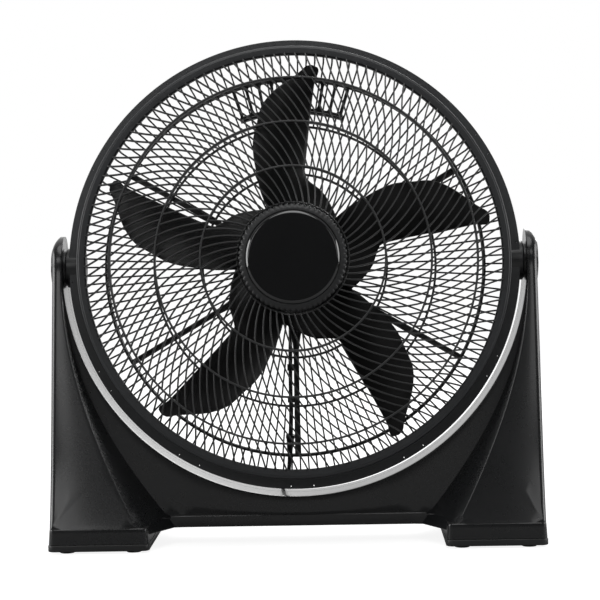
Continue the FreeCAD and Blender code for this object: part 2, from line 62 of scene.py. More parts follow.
class Wire:  # an output socket that can be used in sums
    def __init__(self, nodes, socket):
        self.nodes = nodes
        self.socket = socket

    def math(self, kind, first, second):
        return self.nodes.add("ShaderNodeMath", {"operation": kind}, [first, second])

    def __add__(self, other):
        return self.math("ADD", self, other)

    def __radd__(self, other):
        return self.math("ADD", other, self)

    def __sub__(self, other):
        return self.math("SUBTRACT", self, other)

    def __rsub__(self, other):
        return self.math("SUBTRACT", other, self)

    def __mul__(self, other):
        return self.math("MULTIPLY", self, other)

    def __rmul__(self, other):
        return self.math("MULTIPLY", other, self)

    def limited(self):
        return self.nodes.add("ShaderNodeClamp", {}, [self, 0.0, 1.0])


class Nodes:  # a node tree and the one way that nodes get into it
    def __init__(self, tree):
        self.tree = tree

    def add(self, kind, settings, values, output=0):
        node = self.tree.nodes.new(kind)
        for name, value in settings.items():
            setattr(node, name, value)
        pairs = values.items() if isinstance(values, dict) else enumerate(values)
        for key, value in pairs:
            self.fill(node.inputs[key], value)
        return Wire(self, node.outputs[output])

    def fill(self, socket, value):
        if isinstance(value, Wire):
            self.tree.links.new(value.socket, socket)
        else:
            socket.default_value = value

    def noise(self, scale, detail=3.0, stretch=(1, 1, 1)):
        where = self.add("ShaderNodeTexCoord", {}, [], "Object")
        where = self.add("ShaderNodeMapping", {}, {"Vector": where, "Scale": stretch})
        return self.add("ShaderNodeTexNoise", {}, {"Vector": where, "Scale": scale, "Detail": detail}, "Fac")

    def mix(self, share, first, second):
        pair = [colour if isinstance(colour, Wire) else (*colour, 1) for colour in (first, second)]
        return self.add("ShaderNodeMix", {"data_type": "RGBA"}, {0: share, 6: pair[0], 7: pair[1]}, 2)


def finish(name, colour, roughness, spread=0.05, tint=0.25, grain=0.0, grainScale=2200, wave=0.0,
           waveScale=40, metallic=0.0, coat=0.0, coatRoughness=0.05, ior=1.5, stretch=(1, 1, 1), dust=0.0):
    material = bpy.data.materials.new(name)
    material.use_nodes = True
    nodes = Nodes(material.node_tree)
    sockets = nodes.tree.nodes["Principled BSDF"].inputs
    broad = nodes.noise(14, 4)
    fine = nodes.noise(210, 5, stretch)
    lighter = tuple(min(1, channel * (1 + 2 * tint)) for channel in colour)
    darker = tuple(channel * (1 - 0.6 * tint) for channel in colour)
    mottle = (broad * 0.6 + fine * 0.4 - 0.2) * 1.6
    base = nodes.mix(mottle.limited(), darker, lighter)
    rough = roughness + (fine + broad - 1) * (2 * spread)
    if dust:  # lint that has settled on what faces up
        normal = nodes.add("ShaderNodeNewGeometry", {}, [], "Normal")
        up = nodes.add("ShaderNodeSeparateXYZ", {}, [normal], "Z")
        lint = ((up - 0.6) * 2.2).limited() * (nodes.noise(1300, 2) * 1.8 - 0.5).limited() * dust
        base = nodes.mix(lint, base, (0.30, 0.29, 0.27))
        rough = rough + lint * 0.4
    nodes.fill(sockets["Base Color"], base)
    nodes.fill(sockets["Roughness"], rough.limited())
    sockets["Metallic"].default_value = metallic
    sockets["Coat Weight"].default_value = coat
    sockets["Coat Roughness"].default_value = coatRoughness
    sockets["IOR"].default_value = ior
    if grain or wave:  # the mould's fine grain, and the slow flow of a large moulding
        height = nodes.noise(grainScale, 2, stretch) * grain + nodes.noise(waveScale, 1) * wave
        bump = nodes.add("ShaderNodeBump", {}, {"Strength": 1.0, "Distance": 0.001, "Height": height})
        nodes.fill(sockets["Normal"], bump)
    return material


finishes = {
    "tower": finish("towerPlastic", (0.0062, 0.0066, 0.0072), 0.28, 0.03, grain=0.003, grainScale=3200,
                    wave=0.2, waveScale=9, coat=0.3, coatRoughness=0.12, dust=0.12),
    "plate": finish("platePlastic", (0.0120, 0.0125, 0.0130), 0.42, grain=0.05, wave=0.2, dust=0.2),
    "pad": finish("padRubber", (0.015, 0.015, 0.015), 0.80, 0.08, grain=0.12, grainScale=1800),
    "bezel": finish("bezelPlastic", (0.0185, 0.0197, 0.0215), 0.40, grain=0.14, grainScale=1500, dust=0.15),
    "drum": finish("drumPlastic", (0.0130, 0.0135, 0.0145), 0.34, grain=0.04, wave=0.2, dust=0.15),
    "ribs": finish("ribPlastic", (0.0250, 0.0255, 0.0260), 0.36, grain=0.03, dust=0.1),
    "rearRibs": finish("rearRibPlastic", (0.0140, 0.0143, 0.0145), 0.42, grain=0.03, dust=0.15),
    "cap": finish("capGloss", (0.0050, 0.0052, 0.0056), 0.08, 0.015, wave=0.1, coat=0.6, coatRoughness=0.06),
    "hubRing": finish("hubRingPlastic", (0.0080, 0.0084, 0.0090), 0.45, grain=0.06),
    "blade": finish("bladePlastic", (0.0042, 0.0043, 0.0045), 0.38, grain=0.03, wave=0.3),
    "steel": finish("zincSteel", (0.52, 0.52, 0.50), 0.32, 0.08, 0.1, metallic=1.0, grain=0.05,
                    stretch=(1, 1, 6)),
    "motor": finish("motorSteel", (0.36, 0.36, 0.37), 0.40, 0.10, 0.15, metallic=1.0, grain=0.08),
    "laminate": finish("laminatedSteel", (0.30, 0.29, 0.28), 0.45, 0.08, 0.2, metallic=1.0, grain=0.4,
                       grainScale=500, stretch=(0.1, 6, 0.1)),
    "copper": finish("enamelCopper", (0.55, 0.20, 0.07), 0.30, 0.08, 0.3, metallic=0.9, grain=0.5,
                     grainScale=380, stretch=(1, 5, 1), coat=0.5),
    "cover": finish("coverPlastic", (0.0140, 0.0145, 0.0155), 0.48, grain=0.14, grainScale=1500, dust=0.2),
    "knob": finish("knobPlastic", (0.0180, 0.0185, 0.0195), 0.38, grain=0.04),
    "mark": finish("whiteMark", (0.70, 0.70, 0.68), 0.5, 0.04, 0.05, grain=0.03),
    "cord": finish("cordVinyl", (0.0130, 0.0132, 0.0135), 0.46, 0.06, grain=0.10, grainScale=900),
    "brass": finish("plugPins", (0.62, 0.47, 0.22), 0.28, 0.08, 0.15, metallic=1.0, grain=0.05),
}
print("finishes made:", len(finishes))


class Shape:  # gathers points and faces, in millimetres
    def __init__(self):
        self.points = []
        self.faces = []

    def loops(self, rings, closed=False, caps=True):  # a skin over rings of the same number of points
        start, size, count = len(self.points), len(rings[0]), len(rings)
        for ring in rings:
            self.points.extend(tuple(point) for point in ring)
        for i in range(count if closed else count - 1):
            a, b = start + i * size, start + (i + 1) % count * size
            for j in range(size):
                k = (j + 1) % size
                self.faces.append((a + j, a + k, b + k, b + j))
        if caps and not closed:
            self.faces.append(tuple(range(start, start + size))[::-1])
            self.faces.append(tuple(range(start + (count - 1) * size, start + count * size)))
        return self

    def lathe(self, outline, segments=240, centre=(0, 0)):  # outline: closed, (radius, depth)
        rings = []
        for i in range(segments):
            turn = 2 * pi * i / segments
            rings.append([(centre[0] + r * cos(turn), y, centre[1] + r * sin(turn)) for r, y in outline])
        return self.loops(rings, closed=True)

    def arc(self, outline, first, last, segments):  # part of a lathe, in degrees
        turns = [radians(first + (last - first) * i / segments) for i in range(segments + 1)]
        return self.loops([[(r * cos(turn), y, r * sin(turn)) for r, y in outline] for turn in turns])

    def block(self, low, high, edge=0.0, turn=0.0):  # a box with rounded long edges along Y, turned about Y
        outline = rounded([(low[0], low[2]), (high[0], low[2]), (high[0], high[2]), (low[0], high[2])], edge)
        c, s = cos(radians(turn)), sin(radians(turn))
        rings = []
        for y in (low[1], high[1]):
            rings.append([(x * c - z * s, y, x * s + z * c) for x, z in outline])
        return self.loops(rings)

    def bar(self, path, halfWidth, halfDepth, chamfer=0.45):  # a rib whose depth runs along Y
        rings = []
        for i, point in enumerate(path):
            along = (path[min(i + 1, len(path) - 1)] - path[max(i - 1, 0)]).normalized()
            across = along.cross(Vector((0, 1, 0))).normalized()
            deep = across.cross(along).normalized()
            w = halfWidth[i] if isinstance(halfWidth, list) else halfWidth
            d, c = halfDepth, chamfer * min(w, halfDepth)
            corners = ((w, c - d), (w - c, -d), (c - w, -d), (-w, c - d),
                       (-w, d - c), (c - w, d), (w - c, d), (w, d - c))
            rings.append([point + across * a + deep * b for a, b in corners])
        return self.loops(rings)


def rounded(corners, radius, steps=3):  # a closed outline with its corners rounded
    radii = radius if isinstance(radius, (list, tuple)) else [radius] * len(corners)
    out = []
    for i, corner in enumerate(corners):
        here = Vector(corner)
        if radii[i] <= 0:
            out.append(tuple(here))
            continue
        back, ahead = Vector(corners[i - 1]) - here, Vector(corners[(i + 1) % len(corners)]) - here
        half = back.angle(ahead) / 2
        reach = min(radii[i] / tan(half), 0.49 * back.length, 0.49 * ahead.length)
        size = reach * tan(half)
        centre = here + (back.normalized() + ahead.normalized()).normalized() * (size / sin(half))
        first, last = here + back.normalized() * reach - centre, here + ahead.normalized() * reach - centre
        for k in range(steps + 1):
            out.append(tuple(centre + (first * (1 - k / steps) + last * (k / steps)).normalized() * size))
    return out


def piece(name, shape, place, body, look, replaced=(), sharp=35):
    mesh = bpy.data.meshes.new(name)
    mesh.from_pydata([place @ Vector(point) for point in shape.points], [], shape.faces)
    clean = bmesh.new()
    clean.from_mesh(mesh)
    bmesh.ops.remove_doubles(clean, verts=clean.verts, dist=2e-6)
    bmesh.ops.recalc_face_normals(clean, faces=clean.faces)
    clean.to_mesh(mesh)
    clean.free()
    mesh.materials.append(finishes[look])
    made = bpy.data.objects.new(name, mesh)
    bpy.context.scene.collection.objects.link(made)
    smooth(made, sharp)
    if body:  # a piece given no body, the mains cord, is left unattached here
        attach(made, body)
    if replaced:
        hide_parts(*replaced)
    return made


def smooth(made, sharp=35):
    made.data.shade_smooth()
    made.data.set_sharp_from_angle(angle=radians(sharp))


def carve(made, cutter, place, sharp=35):  # takes the cutter's forms out of a piece
    mesh = bpy.data.meshes.new("cutter")
    mesh.from_pydata([place @ Vector(point) for point in cutter.points], [], cutter.faces)
    clean = bmesh.new()
    clean.from_mesh(mesh)
    bmesh.ops.recalc_face_normals(clean, faces=clean.faces)
    clean.to_mesh(mesh)
    clean.free()
    tool = bpy.data.objects.new("cutter", mesh)
    bpy.context.scene.collection.objects.link(tool)
    cut = made.modifiers.new("cut", "BOOLEAN")
    cut.operation = "DIFFERENCE"
    cut.solver = "EXACT"
    cut.object = tool
    done = bpy.data.meshes.new_from_object(made.evaluated_get(bpy.context.evaluated_depsgraph_get()))
    made.modifiers.remove(cut)
    made.data = done
    bpy.data.objects.remove(tool)
    smooth(made, sharp)


def polar(radius, angle, y):  # a point of the head, its angle in degrees from +X towards +Z
    return Vector((radius * cos(radians(angle)), y, radius * sin(radians(angle))))


def between(table, x):  # a smooth curve through a table's pairs
    if x <= table[0][0]:
        return table[0][1]
    for i in range(len(table) - 1):
        (x0, y0), (x1, y1) = table[i], table[i + 1]
        if x <= x1:
            before, after = table[max(i - 1, 0)], table[min(i + 2, len(table) - 1)]
            slope0 = (y1 - before[1]) / (x1 - before[0])
            slope1 = (after[1] - y0) / (after[0] - x0)
            t, span = (x - x0) / (x1 - x0), x1 - x0
            return ((2 * t ** 3 - 3 * t ** 2 + 1) * y0 + (t ** 3 - 2 * t ** 2 + t) * span * slope0
                    + (3 * t ** 2 - 2 * t ** 3) * y1 + (t ** 3 - t ** 2) * span * slope1)
    return table[-1][1]


camera = {"place": (0.0628, -2.5, 0.382), "yaw": 1.3, "down": 1.9, "roll": 1.05, "lens": 119.9}


def makeCamera():
    data = bpy.data.cameras.new("camera")
    data.lens = camera["lens"]
    data.sensor_width = 36
    data.clip_end = 50
    yaw, down, roll = (radians(camera[name]) for name in ("yaw", "down", "roll"))
    ahead = Vector((-sin(yaw) * cos(down), cos(yaw) * cos(down), -sin(down)))
    right = Vector((cos(yaw), sin(yaw), 0))
    up = right.cross(ahead)
    right, up = right * cos(roll) - up * sin(roll), right * sin(roll) + up * cos(roll)
    made = bpy.data.objects.new("camera", data)
    axes = Matrix((right, up, -ahead)).transposed().to_4x4()
    made.matrix_world = Matrix.Translation(camera["place"]) @ axes
    bpy.context.scene.collection.objects.link(made)
    bpy.context.scene.camera = made


lights = {  # place, size in metres, power in watts
    "leftSoftbox": ((-2.6, -0.3, 0.9), 1.6, 32),
    "rightSoftbox": ((2.6, -0.1, 0.9), 1.5, 24),
    "overheadSoftbox": ((0.0, -0.9, 2.6), 2.2, 30),
    "frontLeftSoftbox": ((-1.2, -2.6, 1.5), 1.1, 7),
    "frontRightSoftbox": ((1.3, -2.6, 1.5), 1.0, 4.5),
    "rearSoftbox": ((0.8, 2.4, 1.6), 2.0, 36),
}
surround = {"seen": 1.0, "behind": 1.0, "ahead": 0.06, "floorSeen": 0.85, "floorGlow": 0.03}


def makeStudio():
    for name, (place, size, power) in lights.items():
        data = bpy.data.lights.new(name, "AREA")
        data.shape = "DISK"
        data.size = size
        data.energy = power
        made = bpy.data.objects.new(name, data)
        made.location = place
        made.rotation_euler = (Vector((0, 0, 0.3)) - Vector(place)).to_track_quat("-Z", "Y").to_euler()
        bpy.context.scene.collection.objects.link(made)
    world = bpy.data.worlds.new("studio")
    bpy.context.scene.world = world
    world.use_nodes = True
    nodes = Nodes(world.node_tree)
    where = nodes.add("ShaderNodeTexCoord", {}, [], "Generated")
    back = nodes.add("ShaderNodeSeparateXYZ", {}, [where], "Y")
    glow = (back * 1.3 + 0.35).limited() * (surround["behind"] - surround["ahead"]) + surround["ahead"]
    seen = nodes.add("ShaderNodeLightPath", {}, [], "Is Camera Ray")
    nodes.fill(nodes.tree.nodes["Background"].inputs["Color"], (1, 1, 1, 1))
    nodes.fill(nodes.tree.nodes["Background"].inputs["Strength"], seen * surround["seen"] + (1 - seen) * glow)
    floorMaterial = bpy.data.materials.new("paleFloor")
    floorMaterial.use_nodes = True
    nodes = Nodes(floorMaterial.node_tree)
    sockets = nodes.tree.nodes["Principled BSDF"].inputs
    nodes.fill(sockets["Base Color"], nodes.mix(nodes.noise(3), (0.30, 0.30, 0.30), (0.32, 0.32, 0.32)))
    sockets["Roughness"].default_value = 0.7
    sockets["Specular IOR Level"].default_value = 0
    sockets["Emission Color"].default_value = (1, 1, 1, 1)
    seen = nodes.add("ShaderNodeLightPath", {}, [], "Is Camera Ray")
    nodes.fill(sockets["Emission Strength"], seen * surround["floorSeen"] + surround["floorGlow"])
    mesh = bpy.data.meshes.new("floor")
    reach = 20
    mesh.from_pydata([(-reach, -reach, 0), (reach, -reach, 0), (reach, reach, 0), (-reach, reach, 0)], [],
                     [(0, 1, 2, 3)])
    mesh.materials.append(floorMaterial)
    floor = bpy.data.objects.new("floor", mesh)
    bpy.context.scene.collection.objects.link(floor)
    bpy.context.scene.view_settings.view_transform = "Standard"


makeCamera()
makeStudio()
print("camera and studio made")

cordParts = {
    "diameter": 5.0, "length": 1.6,
    "exit": (-9, 26, -212), "lean": (-0.0580, 0.3500, -0.9349),  # in the head: strain relief, its direction
    "bellows": 9, "bellowApart": 2.1, "layers": (2.6, 7.6), "climb": (0.3, 0.6), "shift": 0.6, "start": -95,
    "bridge": [(-12.4, 11.5, 82), (-14.5, 22, 72), (-18, 38, 67.5), (-21, 49, 60)],
    "run": [(-22.5, 58.5, 42), (-23, 65, 30), (-24, 76, 19), (-22, 96, 11), (-16, 120, 5.5),
            (-6, 136, 2.7)],
    "coil": (14, 185), "turnRadii": (35.5, 30.5, 25.5, 20.5, 25.5, 30.5, 35.5), "perTurn": 16,
    "tail": [(30, 146, 7.4), (50, 139, 4.5), (67, 141, 4), (73, 152, 5), (68, 165, 6.6), (67, 178, 7)],
}


def cordRoute():
    lean = Vector(cordParts["lean"]).normalized()
    start = Vector(cordParts["exit"])
    first = [headPlace @ (start + lean * away) for away in (0, 12, 24, 38)]
    rest = [Vector(point) for point in cordParts["bridge"] + cordParts["run"]]
    middle, turns = cordParts["coil"], cordParts["turnRadii"]
    steps, shift = cordParts["perTurn"], cordParts["shift"]
    low, high = cordParts["layers"]
    climbFrom, climbTo = cordParts["climb"]
    for i in range(len(turns) * steps + 1):
        k = min(i // steps, len(turns) - 1)
        share = i / steps - k
        radius = turns[k] + (turns[min(k + 1, len(turns) - 1)] - turns[k]) * max(0, share - shift) / (1 - shift)
        z = low if k < 4 else high
        if k == 3:  # the lower layer's last turn climbs to the upper layer
            z = low + (high - low) * min(1, max(0, share - climbFrom) / (climbTo - climbFrom))
        turn = radians(cordParts["start"] + 360 * i / steps)
        rest.append(Vector((middle[0] + radius * cos(turn), middle[1] + radius * sin(turn), z)))
    rest += [Vector(point) for point in cordParts["tail"]]
    return first + [point * mm for point in rest]


def splineThrough(name, points):  # a smooth line drawn towards control points, and its own points
    curve = bpy.data.curves.new(name, "CURVE")
    curve.dimensions = "3D"
    curve.resolution_u = 8
    spline = curve.splines.new("NURBS")
    spline.points.add(len(points) - 1)
    for slot, point in zip(spline.points, points):
        slot.co = (*point, 1)
    spline.order_u = 3
    spline.use_endpoint_u = True
    holder = bpy.data.objects.new(name, curve)
    bpy.context.scene.collection.objects.link(holder)
    line = bpy.data.meshes.new_from_object(holder.evaluated_get(bpy.context.evaluated_depsgraph_get()))
    out = [vertex.co.copy() for vertex in line.vertices]
    bpy.data.objects.remove(holder)
    return out


def tubeAlong(path, radius, sides=14):  # a round tube that doesn't twist
    rings = []
    across = Vector((1, 0, 0))
    for i, point in enumerate(path):
        along = (path[min(i + 1, len(path) - 1)] - path[max(i - 1, 0)]).normalized()
        across = (across - along * across.dot(along)).normalized()
        other = along.cross(across)
        size = radius(i) if callable(radius) else radius
        rings.append([point + (across * cos(2 * pi * k / sides) + other * sin(2 * pi * k / sides)) * size
                      for k in range(sides)])
    return Shape().loops(rings)


def makeCord():
    metres = Matrix.Identity(4)
    path = splineThrough("cordLine", cordRoute())
    radius = cordParts["diameter"] * mm / 2
    cord = piece("mains_cord", tubeAlong(path, radius), metres, None, "cord",
                 ["power_cord", "cord_coil", "cord_stub"], sharp=60)
    start = headPlace @ Vector(cordParts["exit"])
    lean = (headPlace.to_3x3() @ Vector(cordParts["lean"])).normalized()
    relief = Shape()
    rings = []
    profile = [(0, 5.2), (0.5, 5.7), (4.5, 5.7), (5, 5.3)]
    for k in range(cordParts["bellows"]):  # the sleeve tapers
        at = 5 + k * cordParts["bellowApart"]
        size = 5.0 - 0.19 * k
        profile += [(at + 0.1, size), (at + 1.2, size), (at + 1.4, size - 0.8), (at + 1.95, size - 0.8)]
    profile += [(24, 3.4), (24, 2.5)]
    side = lean.cross(Vector((1, 0, 0))).normalized()
    other = lean.cross(side)
    for away, size in profile:
        turns = [k * pi / 12 for k in range(24)]
        rings.append([start + lean * (away * mm) + (side * cos(turn) + other * sin(turn)) * (size * mm)
                      for turn in turns])
    relief.loops(rings)
    reliefPiece = piece("cord_relief", relief, metres, "head", "cord", ["strain_relief"])
    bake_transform(cord)
    plug = makePlug()
    wireTie = makeTie()


plugParts = {
    "low": (58, 173, 0.3), "high": (76, 203, 14), "pins": (61.5, 71), "pinWidth": 1.5, "pinEnd": 219,
    "pinLow": 4.5, "pinHigh": 10,
}


def makePlug():
    (x0, y0, z0), (x1, y1, z1) = plugParts["low"], plugParts["high"]
    middle = Vector(((x0 + x1) / 2, 0, (z0 + z1) / 2))
    shape = Shape()
    rings = []
    stations = [(y0, 0.28), (y0 + 0.5, 0.42), (y0 + 3, 0.52), (y0 + 8, 0.72), (y0 + 12, 0.90),
                (y0 + 15, 0.97), (y0 + 22, 0.97), (y0 + 23, 1.0), (y1 - 1.2, 1.0), (y1, 0.93)]
    for y, share in stations:
        w, h = (x1 - x0) / 2 * share, (z1 - z0) / 2 * share
        outline = rounded([(-w, -h), (w, -h), (w, h), (-w, h)], 0.75 * h, 5)
        rings.append([(middle.x + a, y, middle.z + b) for a, b in outline])
    shape.loops(rings)
    body = piece("plug_body", shape, standPlace, "stand", "cord", ["power_plug"])
    pins = Shape()
    low, high, wide = plugParts["pinLow"], plugParts["pinHigh"], plugParts["pinWidth"]
    for x in plugParts["pins"]:
        rings = []
        for y, thin in ((y1 - 1, 0), (plugParts["pinEnd"] - 1.6, 0), (plugParts["pinEnd"], 0.45)):
            outline = rounded([(x + thin, low + thin), (x + wide - thin, low + thin),
                               (x + wide - thin, high - thin), (x + thin, high - thin)], 0.3)
            rings.append([(a, y, b) for a, b in outline])
        pins.loops(rings)
    return body, piece("plug_pins", pins, standPlace, "stand", "brass", ["power_plug"])


tie = {"inner": 17.0, "outer": 39.0, "low": 0.1, "high": 11.2, "halfWidth": 2.0, "thick": 0.7, "turn": 140}


def makeTie():  # a paper-covered wire tie round the coil's turns
    cx, cy = cordParts["coil"]
    outline = rounded([(tie["inner"], tie["low"]), (tie["outer"], tie["low"]), (tie["outer"], tie["high"]),
                       (tie["inner"], tie["high"])], 2.4, 5)
    rings = []
    turn = radians(tie["turn"])
    for across in (-tie["halfWidth"], tie["halfWidth"]):
        for grow in ((0.0, tie["thick"]) if across < 0 else (tie["thick"], 0.0)):
            ring = []
            for r, z in outline:
                r = r + grow * (1 if r > 28 else -1)
                z = max(0.05, z + grow * (1 if z > 5 else -1))
                ring.append((cx + r * cos(turn) - across * sin(turn),
                             cy + r * sin(turn) + across * cos(turn), z))
            rings.append(ring)
    return piece("cord_tie", Shape().loops(rings, closed=True), standPlace, "stand", "pad")


makeCord()
print("cord made")


stand = {
    "halfWidth": 300, "rim": 287, "halfDepth": 36, "bottom": 20.5, "bottomEdge": 1.6, "footTop": 30,
    "footInner": 181, "footFront": 106, "cornerEdge": 7, "rimEdge": 1.8, "seam": 10, "groove": 0.5,
    "lipTop": 34, "lip": 0.7, "lipBlend": 1.2, "bow": 3.0, "shoulder": 337, "armRise": 3.5, "armRound": 8,
    "creaseStart": 287.5, "creaseFall": 0.00125, "creaseEase": 8e-7, "creaseEdge": 1.5, "creaseDip": 0.4,
    "foldIn": 34, "foldRise": 1.25, "foldGap": 0.3, "frontCurve": 0.9,
}
highest = pivotHeight - stand["footTop"]


def riseAt(z):
    return max(0.0, (z - stand["footTop"]) / highest)


def crease(z):  # distance from the middle to the sharp inner edge of a tower's front
    drop = stand["shoulder"] - z
    return stand["creaseStart"] - stand["creaseFall"] * drop ** 2 + stand["creaseEase"] * drop ** 3


def fold(z):  # where the tower's inner side meets the face of the cradle
    return crease(z) - stand["foldIn"] * max(0.0, 1 - stand["foldRise"] * riseAt(z)) ** 2 - stand["foldGap"]


def towerFront(z):
    return stand["footFront"] + (stand["halfDepth"] - stand["footFront"]) * riseAt(z) ** stand["frontCurve"]


def cradleFront(z):  # the face steps forward by a little in its lowest strip
    share = min(1.0, max(0.0, (z - stand["lipTop"]) / stand["lipBlend"]))
    return stand["halfDepth"] - stand["lip"] * share


def frontAt(x, z):  # how far the stand's front face is from the middle plane
    x = abs(x)
    inner, outer = fold(z), crease(z)
    face = cradleFront(z)
    if x <= inner:
        return face
    if x < outer:
        return face + (frontAt(outer, z) - face) * (x - inner) / (outer - inner)
    edge = stand["cornerEdge"]
    corner = stand["halfWidth"] - edge
    past = max(0.0, x - corner)
    bow = stand["bow"] * min(1.0, (corner - outer) / 60, 0.3 + 4 * riseAt(z))
    bow *= (max(0.0, min(x, corner) - outer) / max(1.0, corner - outer)) ** 3
    bow += stand["creaseDip"] * max(0.0, 1 - (x - outer) / stand["creaseEdge"]) ** 2  # a small rounding
    return towerFront(z) - bow - edge + sqrt(max(0.0, edge ** 2 - past ** 2))


def alongRay(line, turn, limit):  # where a ray from the tilt axis crosses a tower's edge line
    low, high = stand["rim"], limit
    for _ in range(40):
        middle = (low + high) / 2
        if abs(middle * cos(turn)) > line(pivotHeight + middle * sin(turn)):
            high = middle
        else:
            low = middle
    return (low + high) / 2


def standSection(turn, floorHeight):  # the front half of the U, cut by a plane through the tilt axis
    c, s = abs(cos(turn)), -sin(turn)
    side = stand["halfWidth"] / max(c, 1e-6)
    below = (pivotHeight - floorHeight) / max(s, 1e-6)
    last = min(side, below)
    rim, edge = stand["rim"], stand["rimEdge"]
    half = stand["halfDepth"] - stand["lip"]
    line = [(rim, 0.0), (rim, 0.6 * half)]
    for k in range(5):
        a = radians(22.5 * k)
        line.append((rim + edge * (1 - cos(a)), half - edge * (1 - sin(a))))
    inner = min(max(alongRay(fold, turn, last), rim + edge + 0.3), last)
    outer = min(max(alongRay(crease, turn, last), inner), last)
    steps = [rim + edge + (inner - rim - edge) * k / 4 for k in (1, 2, 3)]
    steps += [inner - 0.5, inner, inner + (outer - inner) / 2, outer, outer + 0.7, outer + 1.5]
    lipAt = (pivotHeight - stand["lipTop"]) / max(s, 1e-6)
    steps += [lipAt - 1.4, lipAt - 0.7, lipAt, lipAt + 0.5] if lipAt < last else []
    corner = (stand["halfWidth"] - stand["cornerEdge"]) / max(c, 1e-6)
    count = 22 - len(steps)
    start = outer + stand["creaseEdge"]
    steps += [start + (min(corner, last) - start) * k / count for k in range(1, count + 1)]
    for k in range(1, 6):  # round the outer corner, or the bottom edge where there is no tower
        a = radians(90 * k / 5)
        if side <= below or outer < last - 1:
            steps.append((stand["halfWidth"] - stand["cornerEdge"] * (1 - sin(a))) / max(c, 1e-6))
        else:
            steps.append(last - stand["bottomEdge"] * (1 - sin(a)) / max(s, 1e-6))
    steps = sorted(min(max(step, rim + edge + 0.05), last) for step in steps)
    for step in steps:
        x, z = step * cos(turn), pivotHeight + step * sin(turn)
        y = frontAt(x, z)
        if outer >= last - 1 and side > below:  # the cradle's bottom edge is rounded
            edge = stand["bottomEdge"]
            near = max(0.0, edge - (z - floorHeight))
            y -= edge - sqrt(max(0.0, edge ** 2 - near ** 2))
        line.append((step, y))
    return line + [(last, line[-1][1] * 0.55), (last, 0.0)]


def halfRing(turn, line, keep, shrink=1.0, lift=0.0, pull=0.0):  # a section in front of the seam, or behind it
    seam, groove = stand["seam"], stand["groove"]
    rim, last = line[0][0], line[-1][0]
    whole = [(step, -y * shrink) for step, y in line] + [(last, seam - groove), (last, seam + groove)]
    whole += [(step, y * shrink) for step, y in line[-2:0:-1]]
    whole += [(rim, seam + groove), (rim, seam - groove)]
    if stand["halfDepth"] * shrink < seam + groove:
        whole = [(step, min(y, stand["halfDepth"] * shrink)) for step, y in whole]
    ring = []
    for step, y in whole:
        if keep * (y - seam) < groove - 1e-6:
            step, y = min(max(step, rim + groove), last - groove), seam
        share = max(0.0, (step - rim) / (last - rim) - 0.35) / 0.65
        ring.append(((step - pull * share) * cos(turn), y, pivotHeight + step * sin(turn) + lift))
    return ring


def makeStand():
    foot = 180 + degrees(atan2(highest, stand["footInner"]))
    turns = [180 + 1.5 * k for k in range(61)]
    turns = [(turn, stand["footTop"] if turn < foot - 0.5 else stand["bottom"]) for turn in turns]
    corner = 180 + degrees(atan2(highest, stand["halfWidth"]))
    toe = 180 + degrees(atan2(highest, crease(stand["footTop"])))
    turns += [(corner, stand["footTop"]), (toe, stand["footTop"]), (foot, stand["footTop"]),
              (foot + 0.01, stand["bottom"])]
    lines = [(radians(turn), standSection(radians(turn), low)) for turn, low in sorted(turns)]
    for name, keep in (("front", -1), ("rear", 1)):
        left = [halfRing(turn, line, keep) for turn, line in lines]
        right = [[(-x, y, z) for x, y, z in ring] for ring in left[-2::-1]]
        top = []
        for k in range(19 if keep < 0 else 16):  # the arms' half rounds, rounded on their outer side too
            a = radians(5 * k)
            pull = stand["armRound"] * max(0.0, (sin(a) - 0.45) / 0.55) ** 2
            top.append(halfRing(*lines[0], keep, cos(a), stand["armRise"] + stand["halfDepth"] * sin(a), pull))
        rings = top[::-1] + left + right + [[(-x, y, z) for x, y, z in ring] for ring in top]
        piece("stand_" + name, Shape().loops(rings, caps=keep > 0), standPlace, "stand", "tower",
              ["stand_%s_shell" % name], sharp=28)


feet = {
    "edge": 7, "grow": 1.2, "plateGrow": 2.0, "plateTop": 11, "padHeight": 3, "padRadius": 9, "padRow": 90,
    "padInset": (18, 20), "padTop": 4.5,
}


def footOutline(side, grow):
    edge = feet["edge"]
    xs = sorted((side * (stand["halfWidth"] + grow), side * (stand["footInner"] - grow)))
    y = stand["footFront"] + grow
    return rounded([(xs[0], -y), (xs[1], -y), (xs[1], y), (xs[0], y)], edge + grow, 6)


